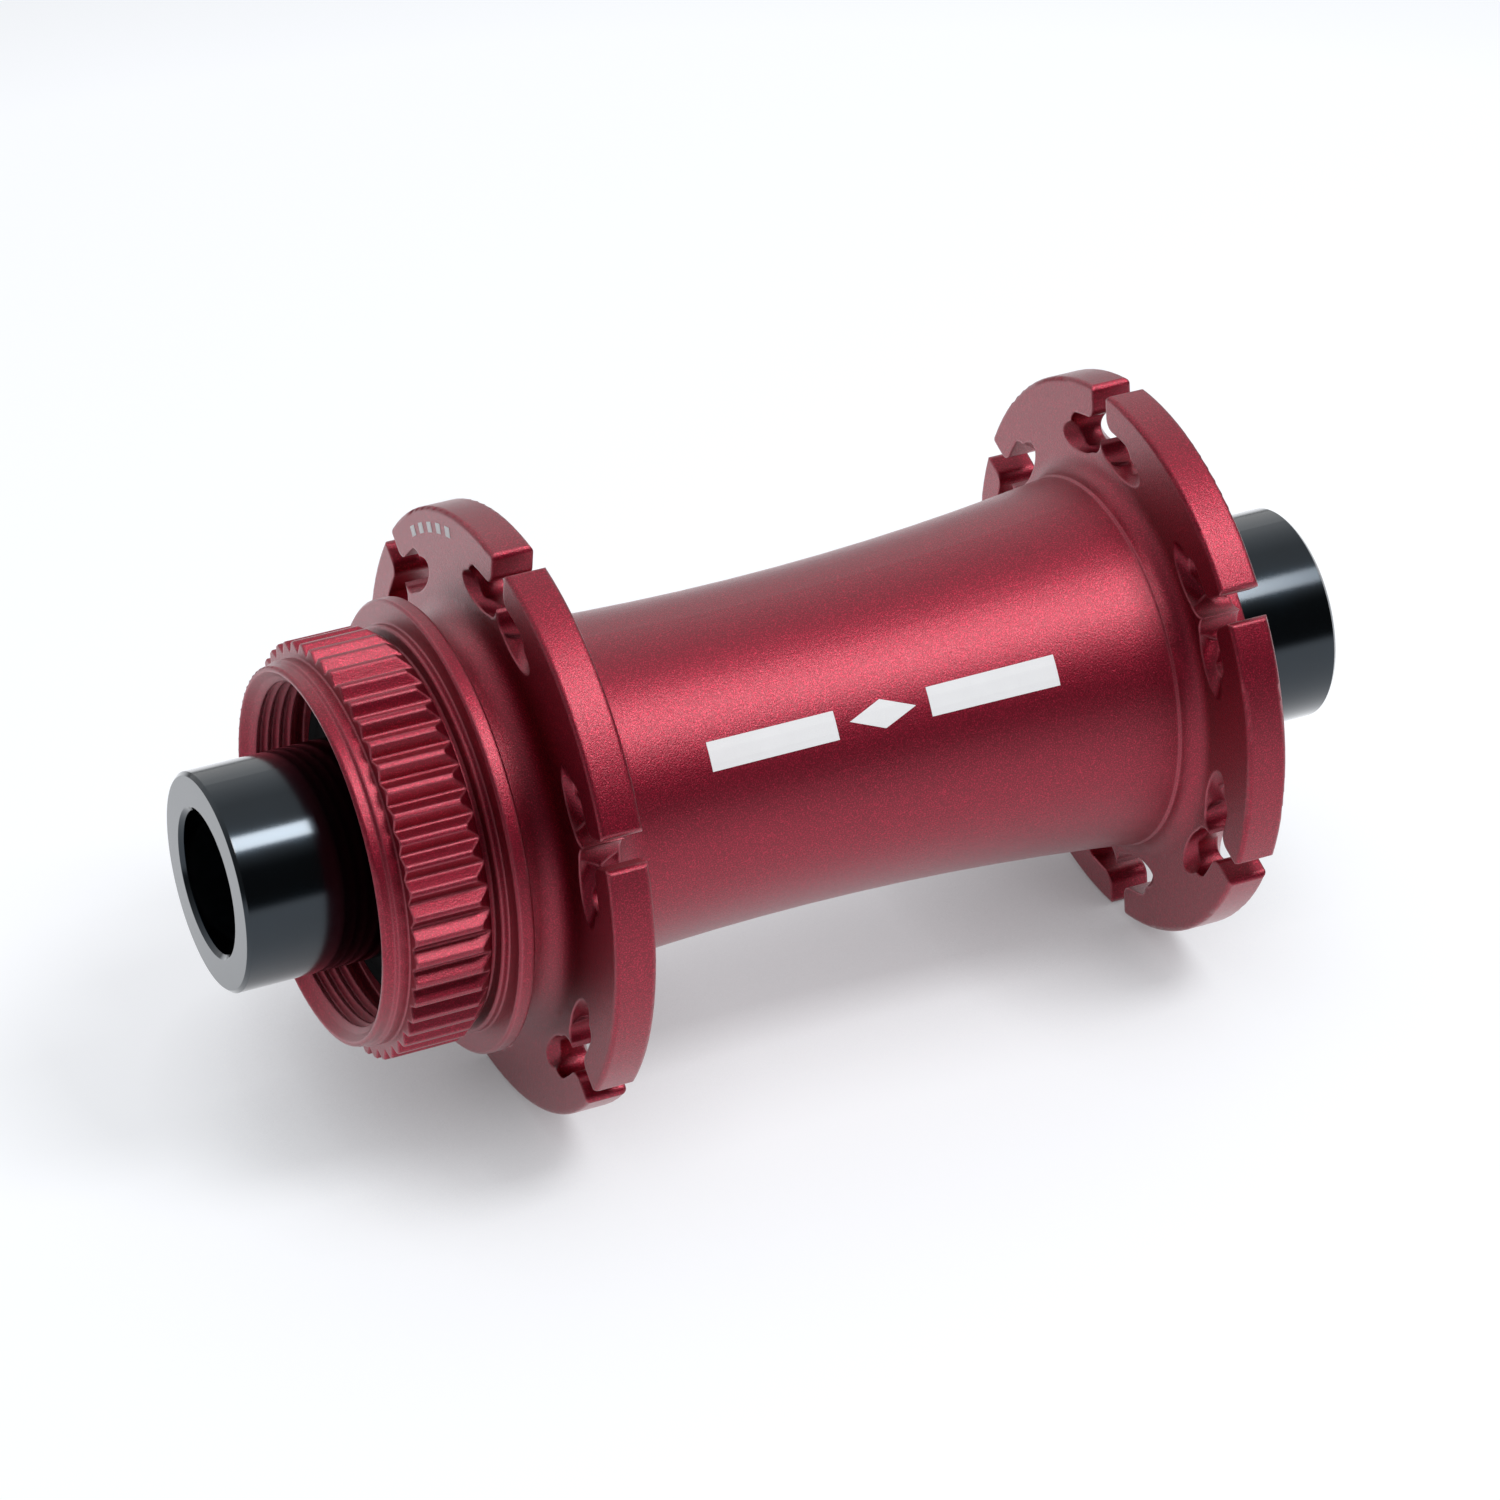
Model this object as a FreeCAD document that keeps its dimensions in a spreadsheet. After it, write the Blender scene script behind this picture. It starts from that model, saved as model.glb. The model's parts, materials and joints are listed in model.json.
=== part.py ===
"""Front bicycle hub for a disc brake and a 100 x 12 mm thru-axle, with straight-pull spoke slots.

Frame: the origin is on the hub axis, halfway between the two end-cap faces. +Y runs along the
axis to the left (brake) side, +X points forward and +Z is up. All lengths are in millimetres.
"""
import FreeCAD, Part
import math
import os
from types import SimpleNamespace

import Sketcher

Vector = FreeCAD.Vector
Rotation = FreeCAD.Rotation
Placement = FreeCAD.Placement

# ---------------------------------------------------------------------------------------------
# Driving dimensions. A name that ends in _y is a place along the axis; the rest are sizes.
# ---------------------------------------------------------------------------------------------
DIMENSIONS = [
    ("face_to_face", 100.0, "over both end-cap faces"),
    ("axle_bore_d", 12.1, "clearance bore for the 12 mm thru-axle"),
    ("tube_d", 15.0, "bearing journals of the axle tube"),
    ("tube_shoulder_d", 17.2, "shoulders that the inner races stop against"),
    ("tube_waist_d", 15.8, "axle tube between the shoulders"),
    ("tube_shoulder_wide", 3.0, "width of each shoulder"),
    ("tube_end_y", 45.9, "each end of the axle tube, from the middle"),
    ("tube_chamfer", 0.4, "chamfer on the ends of the axle tube"),
    ("cap_d", 18.5, "outside of an end cap"),
    ("cap_nose_d", 17.8, "end-cap nose that presses on the inner race"),
    ("cap_nose_long", 1.4, "length of the nose"),
    ("cap_web", 4.0, "thickness of the end-cap face that the thru-axle passes"),
    ("cap_bore_d", 15.04, "sliding fit of the end cap on the axle tube"),
    ("cap_edge", 0.3, "chamfer on the outer edge of an end cap"),
    ("cap_mouth", 0.35, "chamfer on the thru-axle bore"),
    ("seat_gap", 0.02, "play between an end cap and its inner race"),
    ("ring_cord_d", 1.0, "cord of the end-cap O-ring"),
    ("ring_play", 0.03, "play around the O-ring"),
    ("ring_groove_wide", 1.2, "width of the O-ring groove"),
    ("ring_left_y", 40.5, "left O-ring"),
    ("ring_right_y", -43.0, "right O-ring"),
    ("seal_outer_d", 27.2, "outside of a dust seal"),
    ("seal_thick", 0.9, "thickness of a dust seal"),
    ("seal_hub_wall", 1.3, "thicker ring of a dust seal around the nose"),
    ("seal_lip", 0.8, "turned-out lip of a dust seal"),
    ("seal_gap", 0.35, "gap between a dust seal and its bearing"),
    ("race_bore_d", 15.0, "bearing bore"),
    ("race_outer_d", 28.0, "bearing outside"),
    ("race_wide", 7.0, "bearing width"),
    ("race_chamfer", 0.3, "chamfers on the races"),
    ("bearing_left_y", 31.0, "middle of the left bearing"),
    ("bearing_right_y", -34.5, "middle of the right bearing"),
    ("pitch_d", 21.5, "circle of the ball centres"),
    ("ball_d", 3.5, "bearing balls"),
    ("ball_count", 11.0, "balls in each bearing"),
    ("ball_play", 0.05, "clearance between the balls and each race"),
    ("inner_land_d", 18.2, "outside of the inner race"),
    ("outer_land_d", 24.8, "inside of the outer race"),
    ("shield_thick", 0.6, "thickness of a bearing seal"),
    ("shield_inset", 0.1, "bearing seal below the face of the races"),
    ("shield_step_d", 25.9, "recess in the outer race that holds a bearing seal"),
    ("shield_lip", 0.45, "thinned inner lip of a bearing seal"),
    ("shield_lip_gap", 0.09, "gap between a bearing seal and the inner race"),
    ("cage_inner_d", 20.1, "inside of the ball cage"),
    ("cage_outer_d", 22.9, "outside of the ball cage"),
    ("cage_wide", 4.9, "width of the ball cage"),
    ("cage_pocket_d", 3.7, "ball pockets of the cage"),
    ("mouth_y", 41.1, "open left end of the hub shell"),
    ("collar_d", 31.9, "plain collar ahead of the rotor spline"),
    ("mouth_rim_d", 31.1, "inner edge of the collar's front face"),
    ("thread_major_d", 30.0, "M30 x 1 lockring thread, over the roots"),
    ("thread_minor_d", 28.92, "M30 x 1 lockring thread, over the crests"),
    ("thread_pitch", 1.0, "pitch of the lockring thread"),
    ("thread_crest", 0.12, "flat on the crests of the thread"),
    ("thread_start_y", 40.45, "first turn of the lockring thread"),
    ("thread_turns", 4.0, "turns of the lockring thread"),
    ("relief_d", 30.2, "relief behind the thread"),
    ("relief_end_y", 35.5, "inner end of the relief"),
    ("collar_end_y", 40.1, "step from the collar up to the spline's land"),
    ("collar_step", 0.25, "height of that step"),
    ("collar_round", 0.3, "rounding of the collar's front edge"),
    ("spline_front_y", 38.9, "front of the rotor spline"),
    ("spline_rear_y", 33.15, "rear end of the tooth tips"),
    ("spline_foot_y", 32.05, "rear end of the tooth roots, where the cutter runs out"),
    ("spline_tip_d", 35.1, "over the spline teeth"),
    ("spline_root_d", 33.4, "over the spline roots"),
    ("spline_teeth", 52.0, "number of spline teeth"),
    ("spline_land", 0.38, "width of a tooth tip"),
    ("spline_gap", 0.12, "width of a tooth root"),
    ("spline_bevel", 0.1, "bevel on the front of the teeth"),
    ("spline_clock", -1.25, "turn of a tooth gap from the vertical, in degrees"),
    ("neck_d", 31.9, "neck between the spline and the rotor stop"),
    ("step_d", 34.4, "low step at the foot of the rotor stop"),
    ("step_y", 31.4, "face of the low step"),
    ("step_bevel", 0.15, "bevel on the edge of the low step"),
    ("stop_face_y", 30.7, "face that the rotor is clamped against"),
    ("stop_bevel", 0.2, "bevels on the rim of the rotor stop"),
    ("stop_rear_y", 29.3, "rear of the rotor stop"),
    ("stop_d", 38.4, "outside of the rotor stop"),
    ("gutter_d", 32.4, "groove between the rotor stop and the left flange"),
    ("flange_left_d", 51.5, "left flange"),
    ("flange_left_y", 23.45, "middle of the left flange"),
    ("flange_right_d", 48.9, "right flange"),
    ("flange_right_y", -34.55, "middle of the right flange"),
    ("flange_thick", 3.6, "thickness of both flanges"),
    ("flange_edge", 0.4, "rounding of the flange rims"),
    ("waist_d", 28.06, "slimmest part of the shell"),
    ("waist_y", 2.0, "where the shell is slimmest"),
    ("waist_sweep", 250.0, "radius of the shell's outline along the axis"),
    ("root_left", 4.5, "fillet behind the left flange"),
    ("root_front", 2.2, "fillet ahead of the left flange"),
    ("flare_y", -30.7, "fine step where the flare to the right flange starts"),
    ("flare_step", 0.15, "height of the fine step"),
    ("root_right", 1.75, "flare ahead of the right flange"),
    ("root_boss", 0.9, "fillet behind the right flange"),
    ("boss_d", 32.2, "boss around the right bearing"),
    ("boss_end_y", -38.3, "open right end of the hub shell"),
    ("shell_bore_d", 25.2, "inside of the shell between the bearings"),
    ("seat_chamfer", 0.3, "chamfers on the bearing seats of the shell"),
    ("cutter_clear", 0.5, "how far the cutters of teeth and slots clear the metal"),
    ("slot_count", 6.0, "spoke slots in each flange, two spokes to a slot"),
    ("slot_clock", 8.0, "turn of the slots from the vertical, in degrees"),
    ("slot_wide", 2.4, "opening of a spoke slot at the rim"),
    ("slot_bevel", 0.5, "bevel on the outer corners of the opening"),
    ("slot_bevel_round", 0.8, "slight rounding of that bevel"),
    ("slot_neck", 1.9, "straight depth of the opening"),
    ("hook_deep", 2.95, "depth of the hooks that hold the spokes in"),
    ("hook_round", 1.06, "rounding of the hooks"),
    ("hook_turn", 5.7, "turn from the slot's middle to the end of a hook's rounding, in degrees"),
    ("arm_deep", 6.05, "depth of the slot's arms below the rim"),
    ("arm_round", 1.6, "rounding of the arm ends"),
    ("arm_turn", 12.0, "turn from the slot's middle to where an arm's end starts, in degrees"),
    ("ridge_deep", 4.5, "depth of the ridge between the arms"),
    ("ridge_round", 1.6, "hollow sides of the ridge"),
    ("ridge_turn", 4.4, "turn from the slot's middle to the foot of the ridge, in degrees"),
    ("bed_d", 2.76, "round beds that the spokes lie in"),
    ("bed_deep", 4.75, "depth of the beds' crossing point below the rim"),
    ("bed_start", 2.0, "start of a bed, from the crossing point"),
    ("bed_long", 7.5, "length of a bed"),
    ("bed_tilt", 26.0, "angle between a bed and the flange, in degrees"),
    ("bed_dip", 9.0, "inward slope of a bed, in degrees"),
]


class Size:
    """A number that keeps its spreadsheet formula, so one value both places and drives geometry."""

    def __init__(self, value, formula):
        self.value = float(value)
        self.formula = formula

    @staticmethod
    def of(other):
        return other if isinstance(other, Size) else Size(other, repr(float(other)))

    def combined(self, other, value, sign):
        return Size(value, "({} {} {})".format(self.formula, sign, other.formula))

    def __add__(self, other):
        other = Size.of(other)
        return self.combined(other, self.value + other.value, "+")

    def __sub__(self, other):
        other = Size.of(other)
        return self.combined(other, self.value - other.value, "-")

    def __mul__(self, other):
        other = Size.of(other)
        return self.combined(other, self.value * other.value, "*")

    def __truediv__(self, other):
        other = Size.of(other)
        return self.combined(other, self.value / other.value, "/")

    def __neg__(self):
        return Size(-self.value, "(0 - {})".format(self.formula))


doc = FreeCAD.newDocument("disc_brake_front_hub")


def fill_sheet():
    """Put the driving dimensions in the spreadsheet and give them back as Sizes."""
    sheet = doc.addObject("Spreadsheet::Sheet", "dims")
    sizes = {}
    for row, (alias, value, meaning) in enumerate(DIMENSIONS, start=1):
        sheet.set("A{}".format(row), alias)
        sheet.set("B{}".format(row), str(value))
        sheet.set("C{}".format(row), meaning)
        sheet.setAlias("B{}".format(row), alias)
        sizes[alias] = Size(value, "dims.{}".format(alias))
    doc.recompute()
    return SimpleNamespace(**sizes)


dim = fill_sheet()
zero = Size(0.0, "0")
parts = []


# ---------------------------------------------------------------------------------------------
# Helpers
# ---------------------------------------------------------------------------------------------
def new_body(label):
    body = doc.addObject("PartDesign::Body", label)
    body.Label = label
    parts.append(body)
    return body


def origin_feature(body, role):
    return next(item for item in body.Origin.OriginFeatures if item.Role == role)


def closed_sketch(body, name, role, corners, arcs=None):
    """A closed outline on one of the body's own planes.

    corners are (across, up) pairs of Sizes. arcs maps the number of a corner to the radius of the
    arc that leaves it; a positive radius puts the arc's centre to the left of its chord.
    """
    arcs = arcs or {}
    sketch = body.newObject("Sketcher::SketchObject", name)
    sketch.AttachmentSupport = [(origin_feature(body, role), "")]
    sketch.MapMode = "FlatFace"
    places = [Vector(across.value, up.value, 0) for across, up in corners]
    for number, start in enumerate(places):
        end = places[(number + 1) % len(places)]
        if number in arcs:
            sketch.addGeometry(arc_between(start, end, arcs[number].value))
        else:
            sketch.addGeometry(Part.LineSegment(start, end))
    for number, (across, up) in enumerate(corners):
        begin = start_point(arcs, number)
        finish = end_point(arcs, number - 1)
        before = (number - 1) % len(corners)
        sketch.addConstraint(Sketcher.Constraint("Coincident", before, finish, number, begin))
        bind_place(sketch, "DistanceX", number, begin, across)
        bind_place(sketch, "DistanceY", number, begin, up)
    for number, radius in arcs.items():
        size = abs(radius.value)
        index = sketch.addConstraint(Sketcher.Constraint("Radius", number, size))
        sketch.setExpression("Constraints[{}]".format(index), "abs({})".format(radius.formula))
    return sketch


def start_point(arcs, number):
    """Sketcher arcs run anticlockwise, so an arc centred on the right starts at its far end."""
    return 2 if number in arcs and arcs[number].value < 0 else 1


def end_point(arcs, number):
    """The end of the line or arc that leaves the corner; -1 stands for the last corner."""
    return 1 if number in arcs and arcs[number].value < 0 else 2


def arc_between(start, end, radius):
    """The short arc of the given radius from start to end."""
    chord = end - start
    middle = (start + end) * 0.5
    left = Vector(-chord.y, chord.x, 0)
    left.normalize()
    rise = math.sqrt(radius * radius - chord.Length * chord.Length / 4)
    centre = middle + left * math.copysign(rise, radius)
    circle = Part.Circle(centre, Vector(0, 0, 1), abs(radius))
    first = math.atan2(start.y - centre.y, start.x - centre.x)
    last = math.atan2(end.y - centre.y, end.x - centre.x)
    if radius < 0:
        first, last = last, first
    return Part.ArcOfCircle(circle, first, last)


def bind_place(sketch, kind, number, point, size):
    if size.formula == "0":
        axis = -2 if kind == "DistanceX" else -1
        sketch.addConstraint(Sketcher.Constraint("PointOnObject", number, point, axis))
        return
    index = sketch.addConstraint(Sketcher.Constraint(kind, number, point, size.value))
    sketch.setExpression("Constraints[{}]".format(index), size.formula)


def turned_body(label, corners, arcs=None):
    """A body turned about the hub axis from an outline of (place along Y, radius) pairs."""
    body = new_body(label)
    sketch = closed_sketch(body, label + "_outline", "YZ_Plane", corners, arcs)
    turning = body.newObject("PartDesign::Revolution", label + "_turning")
    turning.Profile = sketch
    turning.ReferenceAxis = (sketch, ["H_Axis"])
    turning.Angle = 360
    return body


def round_rings(body, name, rings, radius):
    """Round the circular edges about the hub axis that lie at the given (place, radius) pairs."""
    doc.recompute()
    base = body.Tip
    found = []
    for place, ring in rings:
        for number, edge in enumerate(base.Shape.Edges, start=1):
            if not isinstance(edge.Curve, Part.Circle):
                continue
            centre = edge.Curve.Center
            same_place = abs(centre.y - place.value) < 0.01 and math.hypot(centre.x, centre.z) < 0.01
            if same_place and abs(edge.Curve.Radius - ring.value) < 0.02:
                found.append("Edge{}".format(number))
    if len(found) != len(rings):
        raise RuntimeError("{}: {} of {} edges found".format(name, len(found), len(rings)))
    fillet = body.newObject("PartDesign::Fillet", name)
    fillet.Base = (base, found)
    fillet.setExpression("Radius", radius.formula)
    doc.recompute()


def polar_pattern(body, name, feature, count):
    """Repeat the body's last feature around the hub axis."""
    pattern = body.newObject("PartDesign::PolarPattern", name)
    pattern.Originals = [feature]
    pattern.Axis = (origin_feature(body, "Y_Axis"), [""])
    pattern.Angle = 360
    pattern.setExpression("Occurrences", count.formula)
    body.Tip = pattern
    doc.recompute()


def cut_along_axis(body, name, corners, arcs, nearest, farthest, clock=zero):
    """Cut an outline of (X, Z) corners through the body between two places along Y."""
    doc.recompute()
    before = body.Tip.Shape.Volume
    sketch = closed_sketch(body, name + "_outline", "XZ_Plane", corners, arcs)
    turn = Rotation(Vector(0, 0, 1), clock.value)
    sketch.AttachmentOffset = Placement(Vector(0, 0, -farthest.value), turn)
    sketch.setExpression("AttachmentOffset.Base.z", (-farthest).formula)
    pocket = body.newObject("PartDesign::Pocket", name)
    pocket.Profile = sketch
    pocket.Reversed = True
    pocket.setExpression("Length", (farthest - nearest).formula)
    doc.recompute()
    if before - pocket.Shape.Volume < 1:
        raise RuntimeError(name + " removes nothing")
    return pocket


# ---------------------------------------------------------------------------------------------
# Axle tube: journals for both bearings, with a shoulder inside each
# ---------------------------------------------------------------------------------------------
def axle_tube():
    bore = dim.axle_bore_d / 2
    journal = dim.tube_d / 2
    shoulder = dim.tube_shoulder_d / 2
    waist = dim.tube_waist_d / 2
    left = dim.bearing_left_y - dim.race_wide / 2
    right = dim.bearing_right_y + dim.race_wide / 2
    left_inner = left - dim.tube_shoulder_wide
    right_inner = right + dim.tube_shoulder_wide
    slope = shoulder - waist
    end = dim.tube_end_y
    turned_body("axle_tube", [
        (-end, bore),
        (-end, journal - dim.tube_chamfer),
        (dim.tube_chamfer - end, journal),
        (right, journal),
        (right, shoulder),
        (right_inner, shoulder),
        (right_inner + slope, waist),
        (left_inner - slope, waist),
        (left_inner, shoulder),
        (left, shoulder),
        (left, journal),
        (end - dim.tube_chamfer, journal),
        (end, journal - dim.tube_chamfer),
        (end, bore),
    ])


# ---------------------------------------------------------------------------------------------
# End caps, with their O-rings and dust seals. side is +1 on the left and -1 on the right.
# ---------------------------------------------------------------------------------------------
def end_cap(name, side, bearing_y, ring_y):
    face = dim.face_to_face / 2 * side
    inner_end = bearing_y + (dim.race_wide / 2 + dim.seat_gap) * side
    nose_end = inner_end + dim.cap_nose_long * side
    web = face - dim.cap_web * side
    outside = dim.cap_d / 2
    nose = dim.cap_nose_d / 2
    bore = dim.axle_bore_d / 2
    sleeve = dim.cap_bore_d / 2
    groove = dim.tube_d / 2 + dim.ring_cord_d + dim.ring_play * 2
    half_groove = dim.ring_groove_wide / 2 * side
    body = turned_body("end_cap_" + name, [
        (face, bore + dim.cap_mouth),
        (face, outside - dim.cap_edge),
        (face - dim.cap_edge * side, outside),
        (nose_end, outside),
        (nose_end, nose),
        (inner_end, nose),
        (inner_end, sleeve),
        (ring_y - half_groove, sleeve),
        (ring_y - half_groove, groove),
        (ring_y + half_groove, groove),
        (ring_y + half_groove, sleeve),
        (web, sleeve),
        (web, bore),
        (face - dim.cap_mouth * side, bore),
    ])
    return body


def end_cap_ring(name, ring_y):
    ring = doc.addObject("Part::Torus", "end_cap_oring_" + name)
    ring.Label = "end_cap_oring_" + name
    inner = dim.tube_d / 2 + dim.ring_play
    ring.setExpression("Radius1", (inner + dim.ring_cord_d / 2).formula)
    ring.setExpression("Radius2", (dim.ring_cord_d / 2).formula)
    ring.Placement = Placement(Vector(0, ring_y.value, 0), Rotation(Vector(1, 0, 0), 90))
    ring.setExpression("Placement.Base.y", ring_y.formula)
    parts.append(ring)


def dust_seal(name, side, bearing_y):
    """A rubber disc on the nose of the end cap, with a turned-out lip at its edge."""
    inner_face = bearing_y + (dim.race_wide / 2 + dim.seal_gap) * side
    outer_face = inner_face + dim.seal_thick * side
    third = dim.seal_thick / 3 * side
    nose = dim.cap_nose_d / 2
    hub = nose + dim.seal_hub_wall
    lip = dim.seal_outer_d / 2
    turned_body("dust_seal_" + name, [
        (inner_face, nose),
        (inner_face, lip - dim.seal_lip * 0.75),
        (outer_face - third, lip),
        (outer_face, lip - dim.seal_lip / 5),
        (outer_face - third, lip - dim.seal_lip),
        (outer_face - third, hub + third * side),
        (outer_face, hub),
        (outer_face, nose),
    ])


# ---------------------------------------------------------------------------------------------
# Cartridge bearing, 15 x 28 x 7: two races, balls in a cage, and a seal on each face
# ---------------------------------------------------------------------------------------------
def bearing(name, middle):
    prefix = "bearing_{}_".format(name)
    half = dim.race_wide / 2
    groove = dim.ball_d / 2 + dim.ball_play
    drop = dim.pitch_d / 2
    inner_land = dim.inner_land_d / 2
    outer_land = dim.outer_land_d / 2
    reach = math.sqrt(groove.value ** 2 - (drop.value - inner_land.value) ** 2)
    half_groove = Size(reach, "sqrt({0} * {0} - {1} * {1})".format(
        groove.formula, (drop - inner_land).formula))
    bore = dim.race_bore_d / 2
    outside = dim.race_outer_d / 2
    turned_body(prefix + "inner_race", [
        (middle - half + dim.race_chamfer, bore),
        (middle + half - dim.race_chamfer, bore),
        (middle + half, bore + dim.race_chamfer),
        (middle + half, inner_land),
        (middle + half_groove, inner_land),
        (middle - half_groove, inner_land),
        (middle - half, inner_land),
        (middle - half, bore + dim.race_chamfer),
    ], arcs={4: -groove})

    step = dim.shield_step_d / 2
    step_depth = dim.shield_inset + dim.shield_thick
    turned_body(prefix + "outer_race", [
        (middle - half, outside - dim.race_chamfer),
        (middle - half, step),
        (middle - half + step_depth, step),
        (middle - half + step_depth, outer_land),
        (middle - half_groove, outer_land),
        (middle + half_groove, outer_land),
        (middle + half - step_depth, outer_land),
        (middle + half - step_depth, step),
        (middle + half, step),
        (middle + half, outside - dim.race_chamfer),
        (middle + half - dim.race_chamfer, outside),
        (middle - half + dim.race_chamfer, outside),
    ], arcs={4: -groove})

    for face, side in (("outboard", 1), ("inboard", -1)):
        toward = side if middle.value > 0 else -side
        shield_face = middle + (half - dim.shield_inset) * toward
        shield_back = shield_face - dim.shield_thick * toward
        lip = inner_land + dim.shield_lip_gap
        pinch = dim.shield_thick / 3 * toward
        turned_body(prefix + face + "_seal", [
            (shield_face, step),
            (shield_back, step),
            (shield_back, lip + dim.shield_lip),
            (shield_back + pinch, lip),
            (shield_face - pinch, lip),
            (shield_face - pinch, lip + dim.shield_lip),
            (shield_face, lip + dim.shield_lip * 2),
        ])

    ball_cage(prefix + "cage", middle)
    balls(prefix + "balls", middle)


def ball_cage(label, middle):
    inner = dim.cage_inner_d / 2
    outer = dim.cage_outer_d / 2
    half = dim.cage_wide / 2
    body = turned_body(label, [
        (middle - half, inner),
        (middle - half, outer),
        (middle + half, outer),
        (middle + half, inner),
    ])
    doc.recompute()
    pocket = body.newObject("PartDesign::SubtractiveCylinder", label + "_pocket")
    pocket.Placement = Placement(Vector(0, middle.value, inner.value - 1), Rotation())
    pocket.setExpression("Placement.Base.y", middle.formula)
    pocket.setExpression("Placement.Base.z", (inner - 1).formula)
    pocket.setExpression("Radius", (dim.cage_pocket_d / 2).formula)
    pocket.setExpression("Height", (outer - inner + 2).formula)
    polar_pattern(body, label + "_pockets", pocket, dim.ball_count)


def balls(label, middle):
    spheres = []
    count = int(dim.ball_count.value)
    for number in range(count):
        ball = doc.addObject("Part::Sphere", "{}_{}".format(label, number + 1))
        ball.setExpression("Radius", (dim.ball_d / 2).formula)
        turn = Rotation(Vector(0, 1, 0), 360.0 * number / count)
        centre = turn.multVec(Vector(0, 0, dim.pitch_d.value / 2))
        ball.Placement = Placement(centre + Vector(0, middle.value, 0), Rotation())
        spheres.append(ball)
    group = doc.addObject("Part::Compound", label)
    group.Label = label
    group.Links = spheres
    parts.append(group)


# ---------------------------------------------------------------------------------------------
# Hub shell: rotor spline, rotor stop, two slotted flanges and the bearing seats, in one piece
# ---------------------------------------------------------------------------------------------
def thread_corners():
    """The lockring thread as rings of its own pitch, from its inner end out to the mouth."""
    crest = dim.thread_minor_d / 2
    root = dim.thread_major_d / 2
    turns = int(dim.thread_turns.value)
    corners = []
    for turn in reversed(range(turns)):
        inner = dim.thread_start_y - dim.thread_pitch * (turn + 1)
        middle = inner + dim.thread_pitch / 2
        corners.append((inner, root))
        corners.append((middle - dim.thread_crest / 2, crest))
        corners.append((middle + dim.thread_crest / 2, crest))
    corners.append((dim.thread_start_y, root))
    return corners


def bow(place):
    """How far the waist's long arc has risen from its slimmest place."""
    run = place - dim.waist_y
    return run * run / (dim.waist_sweep * 2)


def shell_outline():
    """Outer surface from left to right, then the inner surface back.

    The second result is the waist's arc and the third the corners where it meets the flanges.
    """
    collar = dim.collar_d / 2
    land = collar + dim.collar_step
    tip = dim.spline_tip_d / 2
    neck = dim.neck_d / 2
    step = dim.step_d / 2
    stop = dim.stop_d / 2
    waist = dim.waist_d / 2
    gutter = dim.gutter_d / 2
    boss = dim.boss_d / 2
    half_flange = dim.flange_thick / 2
    left_front = dim.flange_left_y + half_flange
    left_rear = dim.flange_left_y - half_flange
    right_front = dim.flange_right_y + half_flange
    right_rear = dim.flange_right_y - half_flange
    left_start = waist + bow(left_rear)
    right_end = waist + bow(dim.flare_y)
    right_root = right_end + dim.flare_step
    seat = dim.race_outer_d / 2
    left_seat_end = dim.bearing_left_y - dim.race_wide / 2
    right_seat_end = dim.bearing_right_y + dim.race_wide / 2
    brake_side = [
        (dim.mouth_y, dim.mouth_rim_d / 2),
        (dim.mouth_y, collar),
        (dim.collar_end_y, collar),
        (dim.collar_end_y - dim.collar_step, land),
        (dim.spline_front_y, land),
        (dim.spline_front_y, tip - dim.spline_bevel),
        (dim.spline_front_y - dim.spline_bevel, tip),
        (dim.spline_rear_y, tip),
        (dim.spline_foot_y, dim.spline_root_d / 2),
        (dim.spline_foot_y, neck),
        (dim.step_y, neck),
        (dim.step_y, step - dim.step_bevel),
        (dim.step_y - dim.step_bevel, step),
        (dim.stop_face_y, step),
        (dim.stop_face_y, stop - dim.stop_bevel),
        (dim.stop_face_y - dim.stop_bevel, stop),
        (dim.stop_rear_y + dim.stop_bevel, stop),
        (dim.stop_rear_y, stop - dim.stop_bevel),
        (dim.stop_rear_y - dim.stop_bevel, gutter),
        (left_front, gutter),
        (left_front, dim.flange_left_d / 2),
        (left_rear, dim.flange_left_d / 2),
        (left_rear, left_start),
    ]
    far_side = [
        (dim.flare_y, right_end),
        (dim.flare_y - dim.flare_step, right_root),
        (right_front, right_root),
        (right_front, dim.flange_right_d / 2),
        (right_rear, dim.flange_right_d / 2),
        (right_rear, boss),
        (dim.boss_end_y, boss),
    ]
    inside = [
        (dim.boss_end_y, seat + dim.seat_chamfer),
        (dim.boss_end_y + dim.seat_chamfer, seat),
        (right_seat_end, seat),
        (right_seat_end, dim.shell_bore_d / 2),
        (left_seat_end, dim.shell_bore_d / 2),
        (left_seat_end, seat),
        (dim.relief_end_y - dim.seat_chamfer, seat),
        (dim.relief_end_y, dim.relief_d / 2),
        (dim.thread_start_y - dim.thread_pitch * dim.thread_turns - dim.seat_chamfer / 2, dim.relief_d / 2),
    ]
    waist_arc = {len(brake_side) - 1: -dim.waist_sweep}
    roots = ((left_rear, left_start), (right_front, right_root))
    return brake_side + far_side + inside + thread_corners(), waist_arc, roots


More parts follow.
